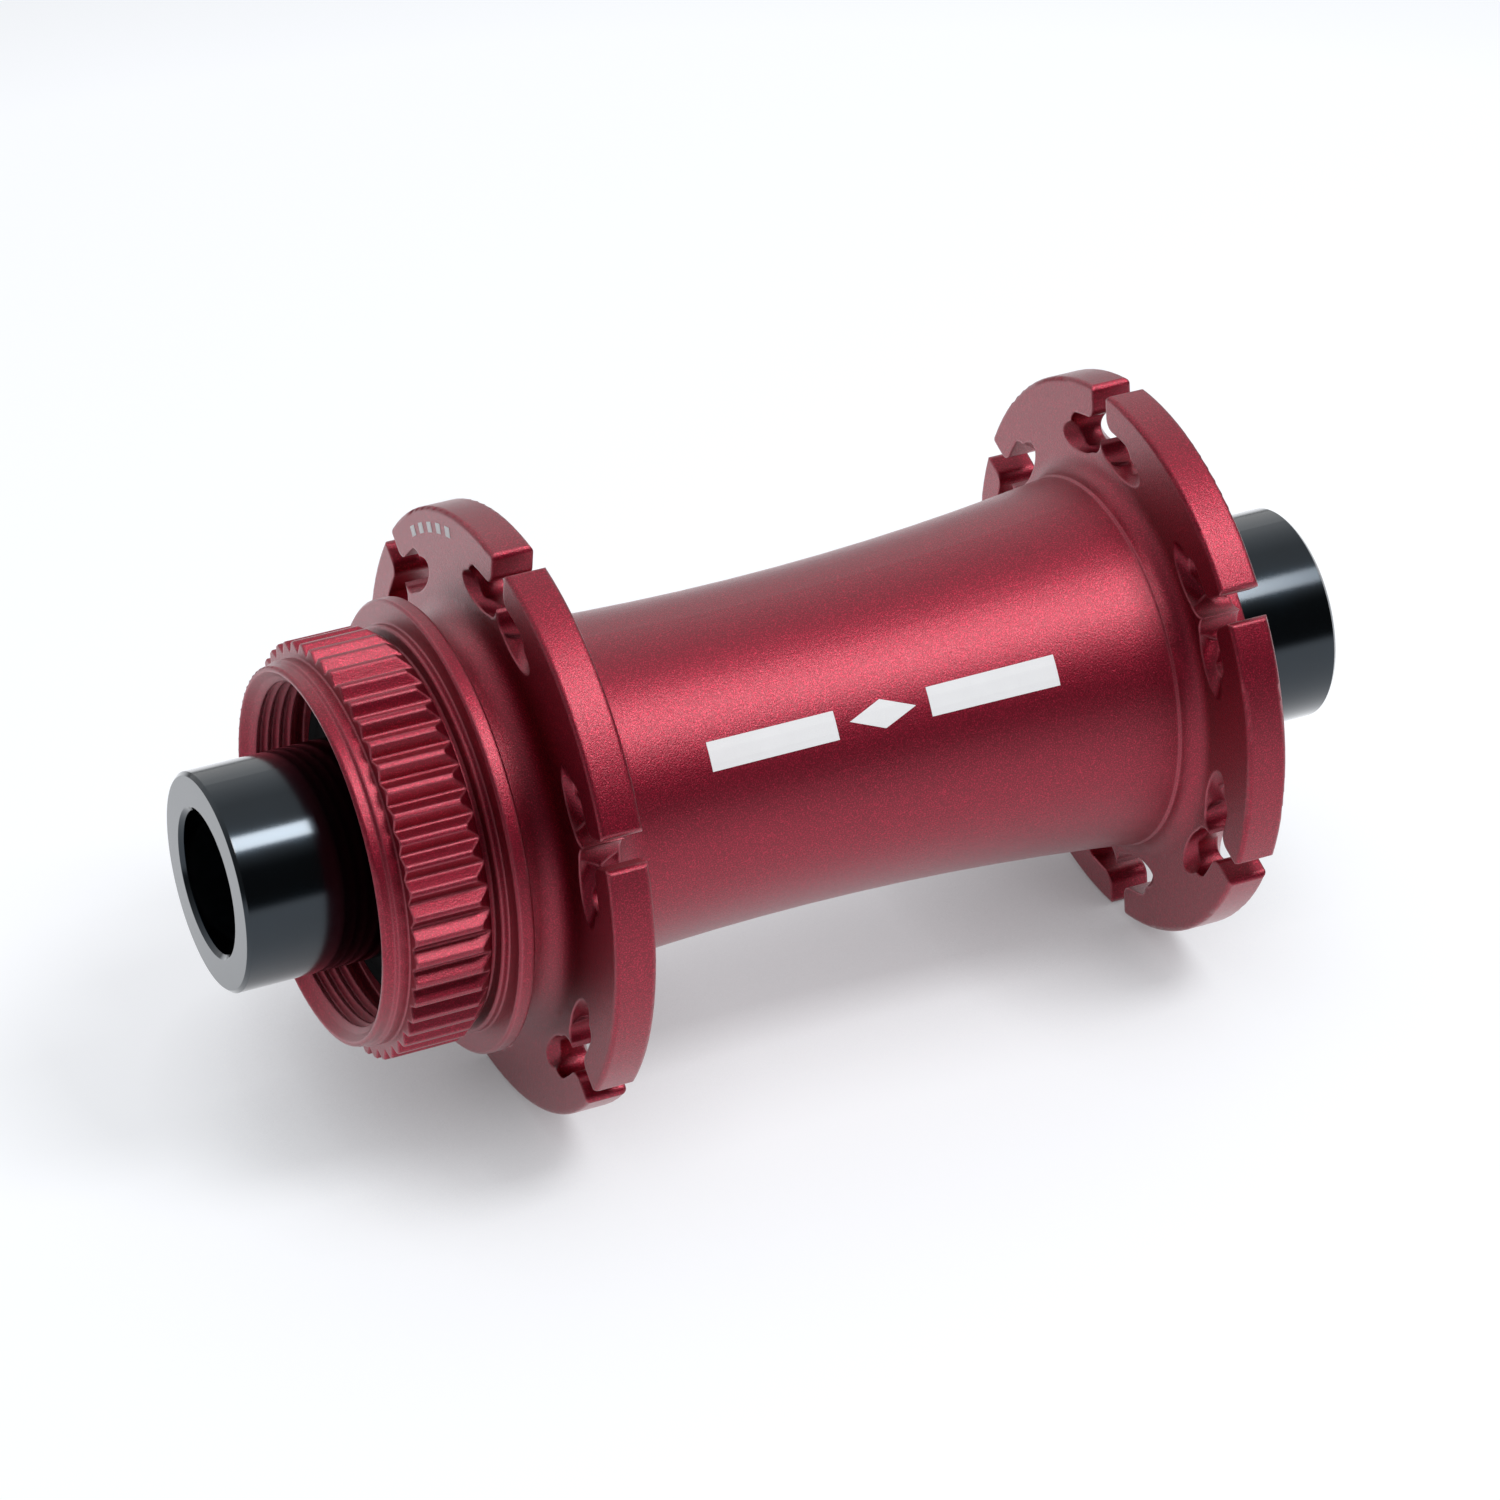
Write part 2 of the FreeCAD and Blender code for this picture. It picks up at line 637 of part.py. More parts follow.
def cut_spline(body):
    """One gap between two teeth, repeated around the axis."""
    tip = dim.spline_tip_d / 2
    root = dim.spline_root_d / 2
    teeth = dim.spline_teeth
    pitch = Size(2 * math.pi * tip.value / teeth.value,
                 "(2 * pi * {} / {})".format(tip.formula, teeth.formula))
    top = (pitch - dim.spline_land) / 2
    bottom = dim.spline_gap / 2
    flank = (top - bottom) / (tip - root)
    above = dim.cutter_clear
    clear = top + flank * above
    gap = cut_along_axis(body, "spline_gap_cut", [
        (-bottom, root),
        (bottom, root),
        (clear, tip + above),
        (-clear, tip + above),
    ], None, dim.step_y + above / 2, dim.spline_front_y + above, dim.spline_clock)
    polar_pattern(body, "spline_gaps", gap, teeth)


def polar_place(radius, turn):
    """The (X, Z) place at a radius from the hub axis, turned from the vertical towards +X."""
    angle = math.radians(turn.value)
    across = Size(radius.value * math.sin(angle), "({} * sin({}))".format(radius.formula, turn.formula))
    up = Size(radius.value * math.cos(angle), "({} * cos({}))".format(radius.formula, turn.formula))
    return across, up


def spoke_slot_outline(rim):
    """A neck at the rim, two arms that run round the flange, and a ridge between the arms."""
    edge = dim.slot_wide / 2
    roof = rim - dim.hook_deep
    floor = rim - dim.arm_deep
    right_half = [
        (edge + dim.slot_bevel, rim + dim.cutter_clear),
        (edge + dim.slot_bevel, rim),
        (edge, rim - dim.slot_bevel),
        (edge, rim - dim.slot_neck),
        polar_place(roof, dim.hook_turn),
        polar_place(roof, dim.arm_turn),
        polar_place(floor, dim.arm_turn),
        polar_place(floor, dim.ridge_turn),
    ]
    bevel = -dim.slot_bevel_round
    bends = [None, bevel, None, -dim.hook_round, roof, dim.arm_round, -floor, dim.ridge_round]
    left_half = [(-across, up) for across, up in right_half]
    tip = (zero, rim - dim.ridge_deep)
    corners = left_half + [tip] + right_half[::-1]
    radii = bends + bends[::-1]
    arcs = {number: radius for number, radius in enumerate(radii) if radius}
    return corners, arcs


def cut_spoke_slots(body, name, middle, rim, clock):
    """Slots open at the rim, each with four round beds that run out through the flange's faces."""
    beyond = dim.flange_thick / 2 + dim.flange_edge
    corners, arcs = spoke_slot_outline(rim)
    slot = cut_along_axis(body, name + "_slot", corners, arcs, middle - beyond, middle + beyond, clock)
    polar_pattern(body, name + "_slots", slot, dim.slot_count)
    turn = Rotation(Vector(0, 1, 0), -clock.value)
    crossing = Vector(0, middle.value, (rim - dim.bed_deep).value)
    tilt = math.radians(dim.bed_tilt.value)
    dip = math.radians(dim.bed_dip.value)
    for number, (around, along) in enumerate(((1, 1), (1, -1), (-1, 1), (-1, -1)), start=1):
        run = Vector(
            around * math.cos(tilt) * math.cos(dip),
            along * math.sin(tilt) * math.cos(dip),
            -math.sin(dip),
        )
        start = turn.multVec(crossing + run * dim.bed_start.value)
        cutter = body.newObject("PartDesign::SubtractiveCylinder", "{}_bed_{}".format(name, number))
        cutter.setExpression("Radius", (dim.bed_d / 2).formula)
        cutter.setExpression("Height", dim.bed_long.formula)
        cutter.Placement = Placement(start, Rotation(Vector(0, 0, 1), turn.multVec(run)))
        polar_pattern(body, "{}_beds_{}".format(name, number), cutter, dim.slot_count)


def hub_shell():
    corners, arcs, (left_root, right_root) = shell_outline()
    body = turned_body("hub_shell", corners, arcs)
    half_flange = dim.flange_thick / 2
    left_front = dim.flange_left_y + half_flange
    left_rear = dim.flange_left_y - half_flange
    right_front = dim.flange_right_y + half_flange
    right_rear = dim.flange_right_y - half_flange
    left_rim = dim.flange_left_d / 2
    right_rim = dim.flange_right_d / 2
    round_rings(body, "flange_rims", [
        (left_front, left_rim),
        (left_rear, left_rim),
        (right_front, right_rim),
        (right_rear, right_rim),
    ], dim.flange_edge)
    round_rings(body, "left_front_root", [(left_front, dim.gutter_d / 2)], dim.root_front)
    round_rings(body, "left_rear_root", [left_root], dim.root_left)
    round_rings(body, "right_front_root", [right_root], dim.root_right)
    round_rings(body, "right_rear_root", [(right_rear, dim.boss_d / 2)], dim.root_boss)
    round_rings(body, "collar_edge", [(dim.mouth_y, dim.collar_d / 2)], dim.collar_round)
    cut_spline(body)
    cut_spoke_slots(body, "left", dim.flange_left_y, left_rim, dim.slot_clock)
    cut_spoke_slots(body, "right", dim.flange_right_y, right_rim, -dim.slot_clock)


# ---------------------------------------------------------------------------------------------
# The assembly
# ---------------------------------------------------------------------------------------------
def assembly():
    hub_shell()
    axle_tube()
    sides = (
        ("left", 1, dim.bearing_left_y, dim.ring_left_y),
        ("right", -1, dim.bearing_right_y, dim.ring_right_y),
    )
    for name, side, bearing_y, ring_y in sides:
        bearing(name, bearing_y)
        end_cap(name, side, bearing_y, ring_y)
        end_cap_ring(name, ring_y)
        dust_seal(name, side, bearing_y)


def check_and_write():
    doc.recompute()
    for item in doc.Objects:
        if "Invalid" in item.State or "Error" in item.State:
            raise RuntimeError("{} failed: {}".format(item.Name, item.State))
    os.makedirs("parts", exist_ok=True)
    for part in parts:
        if part.Shape.isNull() or not part.Shape.isValid():
            raise RuntimeError(part.Label + " has no valid shape")
    for part in parts:
        part.Shape.exportStep("parts/{}.step".format(part.Label))
        print("{:<32}{:>12.1f} mm3".format(part.Label, part.Shape.Volume))


assembly()
check_and_write()
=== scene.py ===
"""Looks for the disc-brake front hub: materials, a generic mark, studio light and the camera."""

import json
import math

import bpy
from mathutils import Matrix, Vector
from mathutils.bvhtree import BVHTree


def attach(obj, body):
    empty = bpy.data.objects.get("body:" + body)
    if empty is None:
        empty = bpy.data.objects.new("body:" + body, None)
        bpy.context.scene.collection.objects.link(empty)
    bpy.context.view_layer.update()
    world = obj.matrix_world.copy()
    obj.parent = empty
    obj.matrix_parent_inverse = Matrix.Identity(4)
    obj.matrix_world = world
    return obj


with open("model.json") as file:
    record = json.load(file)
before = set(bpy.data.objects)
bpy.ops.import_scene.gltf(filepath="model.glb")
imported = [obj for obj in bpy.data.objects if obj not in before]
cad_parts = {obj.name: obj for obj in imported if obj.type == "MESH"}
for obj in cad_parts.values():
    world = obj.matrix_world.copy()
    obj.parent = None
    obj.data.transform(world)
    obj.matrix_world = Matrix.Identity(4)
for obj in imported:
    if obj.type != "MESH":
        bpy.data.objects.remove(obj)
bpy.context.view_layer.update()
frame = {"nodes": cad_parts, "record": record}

MM = 0.001

# The camera looks down on the hub from behind and a little from its left, which is +Y.
CAMERA_PLACE = Vector((-384.3, 183.6, 267.1)) * MM
CAMERA_RIGHT = Vector((-0.4285, -0.9035, 0.0))
CAMERA_UP = Vector((0.4810, -0.2281, 0.8465))
CAMERA_LENS = 143.8
CAMERA_CLIP = 10 * MM
FILM_WIDTH = 36.0

# The floor's slope brings it up to both flanges, of which the left one is the larger.
FLOOR_HALF = 3.0
FLOOR_DROP = 0.03 * MM
FLOOR_COLOR = (0.42, 0.4275, 0.441)
FLOOR_ROUGHNESS = 0.9
FLOOR_SHINE = 0.2
FLANGE_REACH = 2.5 * MM

# The paper glows fully within the inner distance from the origin and not at all past the outer
# one, where its colour is darker too. The glow is painted light, and the darker colour far out is
# painted shade. The object holds the glow back where it stands over it, a painted contact shadow.
FLOOR_GLOW = 1.46
FLOOR_INNER = 0.19
FLOOR_OUTER = 0.50
FLOOR_FAR_SHADE = 0.66
FIBRE_SHADE = (0.985, 0.985, 0.985)
# How far the painted contact shadow under the object reaches, and the way it leans.
CONTACT_SHADOW_REACH = 18 * MM
CONTACT_SHADOW_LEAN = Vector((-0.62, -0.25, 0.75)).normalized()

# One softbox on the camera's side, and a room that is brighter beyond the object and overhead.
KEY_PLACE = Vector((-240, -190, 515)) * MM
KEY_SIZE = (0.24, 0.15)
KEY_POWER = 2.0
ROOM_TINT = (0.97, 0.985, 1.0)
ROOM_DARK = 0.055
ROOM_BRIGHT = 1.0
ROOM_ABOVE = 0.75
ROOM_HORIZON = 0.6

# Each span is where a change in the room begins and ends, along X or Z of a direction.
BEYOND_SPAN = (-0.7, 1.0)
HORIZON_SPAN = (0.0, 0.5)
ABOVE_SPAN = (0.55, 1.0)

# The mark on the waist: millimetres along the axis, and degrees from +X towards +Z.
MARK_MIDDLE = -5.2
MARK_LOW = 140.5
MARK_HIGH = 150.5
DIAMOND_HALF = 3.0
BAR_NEAR = 4.2
BAR_FAR = 15.7
DIAMOND_STEPS = 12
BAR_STEPS = 16

# The ticks on the outer face of the left flange: radii in millimetres, and degrees as above.
TICK_COUNT = 5
TICK_START = 52.0
TICK_STEP = 5.0
TICK_SWEEP = 2.4
TICK_INNER = 23.6
TICK_OUTER = 24.5
TICK_GRID_STEPS = 4

# A print reaches this far out of the shell and as far into it.
PRINT_HALF = 0.02 * MM

# Rays that find the shell start at these places, both well outside it.
BEYOND_WAIST = 40 * MM
BEYOND_LEFT_END = 60 * MM


# ---------------------------------------------------------------------------------------------
# Small helpers for shader nodes
# ---------------------------------------------------------------------------------------------
class Nodes:
    """Adds nodes to a material and joins them up; inputs take a value or another node's output."""

    def __init__(self, name):
        self.material = bpy.data.materials.new(name)
        self.material.use_nodes = True
        self.tree = self.material.node_tree
        self.shader = self.tree.nodes["Principled BSDF"]

    def add(self, kind, inputs=None, output=0, **settings):
        node = self.tree.nodes.new(kind)
        for key, value in settings.items():
            setattr(node, key, value)
        for key, value in (inputs or {}).items():
            self.feed(node.inputs[key], value)
        return node.outputs[output]

    def feed(self, socket, value):
        if isinstance(value, bpy.types.NodeSocket):
            self.tree.links.new(value, socket)
        else:
            socket.default_value = value

    def math(self, operation, *values):
        return self.add("ShaderNodeMath", dict(enumerate(values)), operation=operation)

    def place(self):
        return self.add("ShaderNodeTexCoord", output="Object")

    def noise(self, scale, detail, rough, vector=None):
        inputs = {
            "Vector": vector or self.place(),
            "Scale": scale,
            "Detail": detail,
            "Roughness": rough,
        }
        return self.add("ShaderNodeTexNoise", inputs, output="Fac")

    def spread(self, value, low, high, from_low=0.0, from_high=1.0):
        """A value rescaled so that from_low and from_high come out as low and high."""
        inputs = {
            "Value": value,
            "From Min": from_low,
            "From Max": from_high,
            "To Min": low,
            "To Max": high,
        }
        return self.add("ShaderNodeMapRange", inputs)

    def mix_colors(self, amount, first, second, blend="MIX"):
        node = self.tree.nodes.new("ShaderNodeMix")
        node.data_type = "RGBA"
        node.blend_type = blend
        self.feed(node.inputs["Factor"], amount)
        self.feed(node.inputs["A"], first)
        self.feed(node.inputs["B"], second)
        return node.outputs["Result"]

    def mottled(self, pattern, color, dark, light):
        """A colour that a pattern varies between a darker and a lighter multiple of itself."""
        return self.mix_colors(pattern, tinted(color, dark), tinted(color, light))

    def rounded(self, radius):
        """A normal that turns smoothly over every edge."""
        return self.add("ShaderNodeBevel", {"Radius": radius}, samples=6)

    def bump(self, height, distance, strength, normal):
        inputs = {"Height": height, "Distance": distance, "Strength": strength, "Normal": normal}
        return self.add("ShaderNodeBump", inputs)

    def edge_mask(self, rounded_normal, low, high):
        """0 on open faces and 1 where the rounded normal leaves the face's own normal."""
        face = self.add("ShaderNodeNewGeometry", output="Normal")
        pair = {0: rounded_normal, 1: face}
        same = self.add("ShaderNodeVectorMath", pair, output="Value", operation="DOT_PRODUCT")
        return self.spread(same, 1.0, 0.0, low, high)

    def turned_lines(self, scale):
        """Fine rings about the hub axis, as a lathe leaves them on both ends and sides."""
        split = self.tree.nodes.new("ShaderNodeSeparateXYZ")
        self.feed(split.inputs[0], self.place())
        flat = self.add("ShaderNodeCombineXYZ", {"X": split.outputs["X"], "Y": split.outputs["Z"]})
        radius = self.add("ShaderNodeVectorMath", {0: flat}, output="Value", operation="LENGTH")
        across = self.math("ADD", split.outputs["Y"], radius)
        line = self.add("ShaderNodeCombineXYZ", {"X": across})
        return self.noise(scale, detail=3.0, rough=0.6, vector=line)

    def set(self, **values):
        """Feeds the shader's sockets, named with underscores, and returns the material."""
        for key, value in values.items():
            self.feed(self.shader.inputs[key.replace("_", " ")], value)
        return self.material


def tinted(color, factor=1.0):
    return tuple(channel * factor for channel in color) + (1,)


# ---------------------------------------------------------------------------------------------
# Materials
# ---------------------------------------------------------------------------------------------
def blasted_anodised(name, color, edge_highlight_color):
    """Bead-blasted aluminium under a dyed, slightly glossy oxide layer, with a painted highlight on its
    edges.
    """
    nodes = Nodes(name)
    rounded = nodes.rounded(radius=0.32 * MM)
    grain = nodes.noise(scale=6800.0, detail=3.0, rough=0.7)
    flecks = nodes.noise(scale=9000.0, detail=1.0, rough=0.5)
    clouds = nodes.noise(scale=70.0, detail=3.0, rough=0.55)
    # The edges take a paler colour: a painted highlight where rounded edges catch the light.
    edge_highlight_mask = nodes.edge_mask(rounded, low=0.90, high=0.995)
    patchy = nodes.mottled(clouds, color, dark=0.90, light=1.10)
    sparkle = nodes.spread(flecks, low=0.0, high=1.0, from_low=0.50, from_high=0.70)
    speckled = nodes.mix_colors(sparkle, patchy, tinted(color, factor=2.3))
    edge_highlight_share = nodes.math("MULTIPLY", edge_highlight_mask, 0.4)
    colored = nodes.mix_colors(edge_highlight_share, speckled, tinted(edge_highlight_color))
    roughness = nodes.spread(grain, low=0.40, high=0.50, from_low=0.3, from_high=0.7)
    normal = nodes.bump(grain, distance=0.032 * MM, strength=1.0, normal=rounded)
    return nodes.set(
        Base_Color=colored,
        Metallic=1.0,
        Roughness=roughness,
        Normal=normal,
        Coat_Weight=1.0,
        Coat_Roughness=0.28,
        Coat_IOR=1.40,
        Coat_Normal=normal,
    )


def turned_anodised(name, color):
    """Turned aluminium with a smooth black oxide layer."""
    nodes = Nodes(name)
    rounded = nodes.rounded(radius=0.12 * MM)
    lines = nodes.turned_lines(scale=9000.0)
    smudges = nodes.noise(scale=160.0, detail=4.0, rough=0.6)
    line_part = nodes.spread(lines, low=0.14, high=0.20)
    smudge_part = nodes.spread(smudges, low=-0.02, high=0.04, from_low=0.35, from_high=0.65)
    return nodes.set(
        Base_Color=nodes.mottled(smudges, color, dark=0.8, light=1.3),
        Metallic=1.0,
        Roughness=nodes.math("ADD", line_part, smudge_part),
        Normal=nodes.bump(lines, distance=0.0015 * MM, strength=0.5, normal=rounded),
        Coat_Weight=1.0,
        Coat_Roughness=0.14,
        Coat_IOR=1.45,
    )


def turned_metal(name, color, smoothest, roughest, line_scale):
    """Bare turned or ground metal."""
    nodes = Nodes(name)
    rounded = nodes.rounded(radius=0.10 * MM)
    lines = nodes.turned_lines(line_scale)
    clouds = nodes.noise(scale=220.0, detail=3.0, rough=0.5)
    line_part = nodes.spread(lines, smoothest, roughest)
    cloud_part = nodes.spread(clouds, low=-0.03, high=0.03)
    return nodes.set(
        Base_Color=nodes.mottled(clouds, color, dark=0.92, light=1.06),
        Metallic=1.0,
        Roughness=nodes.math("ADD", line_part, cloud_part),
        Normal=nodes.bump(lines, distance=0.002 * MM, strength=0.6, normal=rounded),
    )


def polished_steel(name, color):
    """Polished balls with a faint haze."""
    nodes = Nodes(name)
    haze = nodes.noise(scale=900.0, detail=4.0, rough=0.6)
    return nodes.set(
        Base_Color=nodes.mottled(haze, color, dark=0.95, light=1.03),
        Metallic=1.0,
        Roughness=nodes.spread(haze, low=0.05, high=0.12),
    )


def moulded(name, color, smoothest, roughest, grain_scale):
    """Moulded rubber or nylon with a fine matte grain."""
    nodes = Nodes(name)
    rounded = nodes.rounded(radius=0.12 * MM)
    grain = nodes.noise(grain_scale, detail=4.0, rough=0.6)
    clouds = nodes.noise(scale=180.0, detail=3.0, rough=0.5)
    return nodes.set(
        Base_Color=nodes.mottled(clouds, color, dark=0.8, light=1.25),
        Roughness=nodes.spread(grain, smoothest, roughest, from_low=0.3, from_high=0.7),
        Specular_IOR_Level=0.08,
        Normal=nodes.bump(grain, distance=0.01 * MM, strength=0.6, normal=rounded),
    )


def printed_ink(name, dark_color, light_color):
    """Printed ink, slightly uneven."""
    nodes = Nodes(name)
    grain = nodes.noise(scale=6000.0, detail=3.0, rough=0.6)
    clouds = nodes.noise(scale=500.0, detail=3.0, rough=0.5)
    rounded = nodes.rounded(radius=0.02 * MM)
    return nodes.set(
        Base_Color=nodes.mix_colors(clouds, tinted(dark_color), tinted(light_color)),
        Roughness=nodes.spread(grain, low=0.42, high=0.6),
        Normal=nodes.bump(grain, distance=0.004 * MM, strength=0.5, normal=rounded),
    )


MATERIALS = {
    "shell_anodised_red": blasted_anodised(
        "anodised_crimson", color=(0.222, 0.0055, 0.022), edge_highlight_color=(0.60, 0.17, 0.21),
    ),
    "tube_aluminium": turned_metal(
        "turned_aluminium", (0.62, 0.63, 0.65), smoothest=0.22, roughest=0.36, line_scale=7000.0,
    ),
    "cap_anodised_black": turned_anodised("anodised_black", (0.007, 0.014, 0.021)),
    "seal_rubber": moulded(
        "seal_rubber", (0.010, 0.010, 0.011), smoothest=0.55, roughest=0.72, grain_scale=5000.0,
    ),
    "bearing_steel": turned_metal(
        "ground_steel", (0.55, 0.55, 0.57), smoothest=0.18, roughest=0.30, line_scale=12000.0,
    ),
    "ball_steel": polished_steel("polished_steel", (0.75, 0.75, 0.77)),
    "cage_plastic": moulded(
        "cage_nylon", (0.46, 0.36, 0.20), smoothest=0.40, roughest=0.55, grain_scale=3500.0,
    ),
    "bearing_seal": moulded(
        "bearing_seal_rubber", (0.014, 0.015, 0.018), smoothest=0.45, roughest=0.60, grain_scale=5000.0,
    ),
}


def dress_nodes():
    """Gives every CAD node the material of its slot in the record."""
    slots = {part["node"]: part["material_slot"] for part in frame["record"]["subparts"]}
    for name, piece in frame["nodes"].items():
        piece.data.materials.clear()
        piece.data.materials.append(MATERIALS[slots[name]])


# ---------------------------------------------------------------------------------------------
# The printed mark: two plain bars and a diamond on the waist, and five ticks on the left flange
# ---------------------------------------------------------------------------------------------
def shell_tree():
    mesh = frame["nodes"]["hub_shell"].data
    corners = [vertex.co.copy() for vertex in mesh.vertices]
    return BVHTree.FromPolygons(corners, [tuple(face.vertices) for face in mesh.polygons])


def around(angle):
    """The outward direction at an angle from +X towards +Z, in degrees."""
    return Vector((math.cos(math.radians(angle)), 0.0, math.sin(math.radians(angle))))


def printed_patch(name, grid):
    """A closed thin patch from rows of (point, outward direction) pairs that lie on the surface."""
    rows = len(grid)
    columns = len(grid[0])
    flat = [pair for row in grid for pair in row]
    top = [point + out * PRINT_HALF for point, out in flat]
    bottom = [point - out * PRINT_HALF for point, out in flat]
    count = rows * columns
    faces = []
    for row in range(rows - 1):
        for column in range(columns - 1):
            first = row * columns + column
            ring = (first, first + 1, first + columns + 1, first + columns)
            faces.append(ring)
            faces.append(tuple(count + corner for corner in reversed(ring)))
    rim = list(range(columns))
    rim += [row * columns + columns - 1 for row in range(1, rows)]
    rim += [(rows - 1) * columns + column for column in range(columns - 2, -1, -1)]
    rim += [row * columns for row in range(rows - 2, 0, -1)]
    for here, there in zip(rim, rim[1:] + rim[:1]):
        faces.append((there, here, count + here, count + there))
    mesh = bpy.data.meshes.new(name)
    mesh.from_pydata(top + bottom, [], faces)
    mesh.validate()
    mesh.update()
    patch = bpy.data.objects.new(name, mesh)
    bpy.context.scene.collection.objects.link(patch)
    return patch


def part_way(start, end, share):
    return [a + (b - a) * share for a, b in zip(start, end)]


def patch_grid(corners, steps, on_surface):
    """Rows of surface points over a four-cornered outline in the surface's own coordinates."""
    grid = []
    for row in range(steps + 1):
        line = []
        for column in range(steps + 1):
            low = part_way(corners[0], corners[1], column / steps)
            high = part_way(corners[3], corners[2], column / steps)
            line.append(on_surface(*part_way(low, high, row / steps)))
        grid.append(line)
    return grid


def four_corners(first, last, low, high):
    """The outline of a patch that runs from first to last one way and from low to high the other."""
    return (first, low), (last, low), (last, high), (first, high)


def add_marks():
    tree = shell_tree()
    white = printed_ink("printed_white", dark_color=(0.90, 0.905, 0.92), light_color=(0.96, 0.965, 0.98))

    def on_waist(place_y, angle):
        out = around(angle)
        start = out * BEYOND_WAIST + Vector((0, place_y * MM, 0))
        return tree.ray_cast(start, -out)[0], out

    def on_flange(radius, angle):
        out = Vector((0, 1, 0))
        start = around(angle) * (radius * MM) + out * BEYOND_LEFT_END
        return tree.ray_cast(start, -out)[0], out

    def bar(first, last):
        return four_corners(MARK_MIDDLE + first, MARK_MIDDLE + last, MARK_LOW, MARK_HIGH)

    halfway = (MARK_LOW + MARK_HIGH) / 2
    diamond = (
        (MARK_MIDDLE + DIAMOND_HALF, halfway),
        (MARK_MIDDLE, MARK_LOW),
        (MARK_MIDDLE - DIAMOND_HALF, halfway),
        (MARK_MIDDLE, MARK_HIGH),
    )
    shapes = [
        ("mark_bar_left", on_waist, bar(BAR_FAR, BAR_NEAR), BAR_STEPS),
        ("mark_diamond", on_waist, diamond, DIAMOND_STEPS),
        ("mark_bar_right", on_waist, bar(-BAR_NEAR, -BAR_FAR), BAR_STEPS),
    ]
    for number in range(TICK_COUNT):
        angle = TICK_START + number * TICK_STEP
        corners = four_corners(TICK_INNER, TICK_OUTER, angle, angle + TICK_SWEEP)
        shapes.append(("flange_tick_{}".format(number + 1), on_flange, corners, TICK_GRID_STEPS))
    for name, surface, corners, steps in shapes:
        patch = printed_patch(name, patch_grid(corners, steps, surface))
        patch.data.materials.append(white)
        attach(patch, "hub")


# ---------------------------------------------------------------------------------------------
# Stage: floor, light and camera
# ---------------------------------------------------------------------------------------------
def flange_bottom(mount_name):
    """Where a flange's spoke slots lie along the axis, and how low the shell reaches near them."""
    mounts = frame["record"]["mounts"]
    place_y = next(mount["pos_m"][1] for mount in mounts if mount["name"] == mount_name)
    mesh = frame["nodes"]["hub_shell"].data
    near = [vertex.co for vertex in mesh.vertices if abs(vertex.co.y - place_y) < FLANGE_REACH]
    return place_y, -max(math.hypot(place.x, place.z) for place in near)


def floor_paper():
    """Pale paper with fibres, which gives off painted light of its own near the object, with painted
    shade far from it and a painted contact shadow under it.
    """
    nodes = Nodes("floor_paper")
    fibres = nodes.noise(scale=900.0, detail=4.0, rough=0.6)
    centre = {0: nodes.place()}
    reach = nodes.add("ShaderNodeVectorMath", centre, output="Value", operation="LENGTH")
    # The glow fades with distance from the origin, and the colour darkens with it: painted light and
    # painted shade.
    near = nodes.spread(reach, low=1.0, high=0.0, from_low=FLOOR_INNER, from_high=FLOOR_OUTER)
    paper = nodes.mottled(near, FLOOR_COLOR, dark=FLOOR_FAR_SHADE, light=1.0)
    shaded = nodes.mix_colors(1.0, paper, tinted(FIBRE_SHADE), blend="MULTIPLY")
    # Ambient occlusion, leant towards the camera's side, dims the glow under the object: a painted
    # contact shadow.
    lean = nodes.add("ShaderNodeCombineXYZ", dict(zip("XYZ", CONTACT_SHADOW_LEAN)))
    contact = {"Distance": CONTACT_SHADOW_REACH, "Normal": lean}
    painted_contact_shadow = nodes.add("ShaderNodeAmbientOcclusion", contact, output="AO", samples=8)
    painted_glow = nodes.math("MULTIPLY", near, painted_contact_shadow)
    return nodes.set(
        Base_Color=nodes.mix_colors(fibres, paper, shaded),
        Roughness=FLOOR_ROUGHNESS,
        Emission_Color=tinted(FLOOR_COLOR),
        Emission_Strength=nodes.math("MULTIPLY", painted_glow, FLOOR_GLOW),
        Specular_IOR_Level=FLOOR_SHINE,
    )


def add_floor():
    """A pale plane just under both flanges."""
    left_y, left_z = flange_bottom("left_spoke_slots")
    right_y, right_z = flange_bottom("right_spoke_slots")
    slope = (left_z - right_z) / (left_y - right_y)
    corners = []
    for x, y in ((-1, -1), (1, -1), (1, 1), (-1, 1)):
        place_y = y * FLOOR_HALF
        corners.append((x * FLOOR_HALF, place_y, left_z - FLOOR_DROP + (place_y - left_y) * slope))
    mesh = bpy.data.meshes.new("floor")
    mesh.from_pydata(corners, [], [(0, 1, 2, 3)])
    floor = bpy.data.objects.new("floor", mesh)
    bpy.context.scene.collection.objects.link(floor)
    floor.data.materials.append(floor_paper())


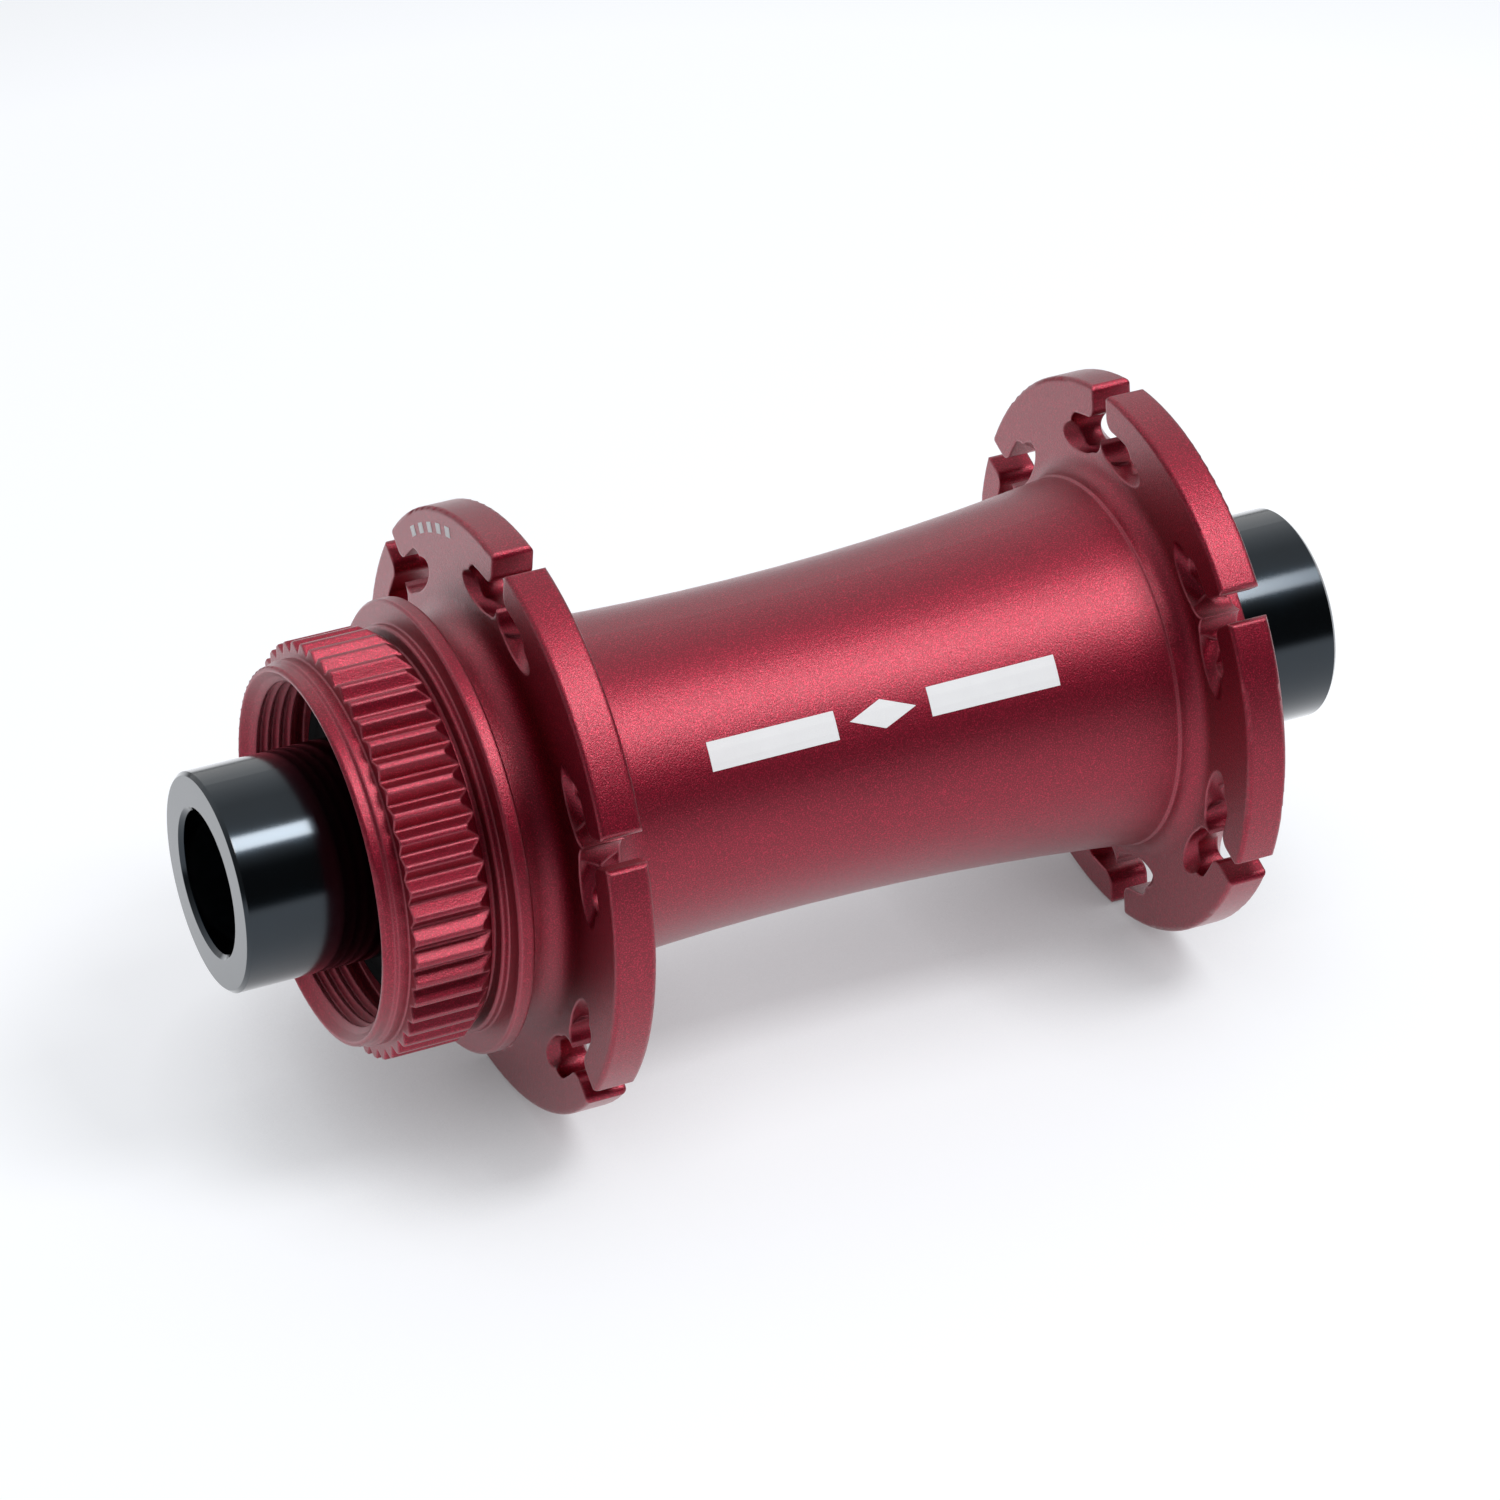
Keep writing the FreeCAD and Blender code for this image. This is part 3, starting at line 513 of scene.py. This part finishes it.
def add_room():
    """A dim room on the camera's side, brighter beyond the object and overhead."""
    world = bpy.data.worlds.new("studio")
    bpy.context.scene.world = world
    world.use_nodes = True
    tree = world.node_tree
    coordinates = tree.nodes.new("ShaderNodeTexCoord")
    split = tree.nodes.new("ShaderNodeSeparateXYZ")
    tree.links.new(coordinates.outputs["Generated"], split.inputs[0])

    def ramp(axis, span, low, high):
        node = tree.nodes.new("ShaderNodeMapRange")
        tree.links.new(split.outputs[axis], node.inputs["Value"])
        node.interpolation_type = "SMOOTHSTEP"
        node.inputs["From Min"].default_value = span[0]
        node.inputs["From Max"].default_value = span[1]
        node.inputs["To Min"].default_value = low
        node.inputs["To Max"].default_value = high
        return node.outputs[0]

    def combine(operation, first, second):
        node = tree.nodes.new("ShaderNodeMath")
        node.operation = operation
        tree.links.new(first, node.inputs[0])
        tree.links.new(second, node.inputs[1])
        return node.outputs[0]

    across = ramp("X", BEYOND_SPAN, ROOM_DARK, ROOM_BRIGHT)
    upwards = ramp("Z", HORIZON_SPAN, ROOM_HORIZON, 1.0)
    beyond = combine("MULTIPLY", across, upwards)
    strength = combine("MAXIMUM", beyond, ramp("Z", ABOVE_SPAN, ROOM_DARK, ROOM_ABOVE))
    background = tree.nodes["Background"]
    tree.links.new(strength, background.inputs["Strength"])
    background.inputs["Color"].default_value = tinted(ROOM_TINT)


def add_softbox(name, place, size, power):
    """A rectangular light that faces the origin, its first side turned along the hub axis."""
    data = bpy.data.lights.new(name, "AREA")
    data.shape = "RECTANGLE"
    data.size, data.size_y = size
    data.energy = power
    light = bpy.data.objects.new(name, data)
    bpy.context.scene.collection.objects.link(light)
    back = place.normalized()
    axis = Vector((0, 1, 0))
    along = (axis - back * axis.dot(back)).normalized()
    across = back.cross(along)
    turn = Matrix((along, across, back)).transposed().to_4x4()
    light.matrix_world = Matrix.Translation(place) @ turn


def add_camera():
    right = CAMERA_RIGHT.normalized()
    back = right.cross(CAMERA_UP).normalized()
    up = back.cross(right)
    data = bpy.data.cameras.new("camera")
    data.lens = CAMERA_LENS
    data.sensor_width = FILM_WIDTH
    data.clip_start = CAMERA_CLIP
    camera = bpy.data.objects.new("camera", data)
    bpy.context.scene.collection.objects.link(camera)
    turn = Matrix((right, up, back)).transposed().to_4x4()
    camera.matrix_world = Matrix.Translation(CAMERA_PLACE) @ turn
    bpy.context.scene.camera = camera


dress_nodes()
add_marks()
add_floor()
add_room()
add_softbox("key_softbox", KEY_PLACE, KEY_SIZE, KEY_POWER)
add_camera()
bpy.context.scene.view_settings.view_transform = "Standard"
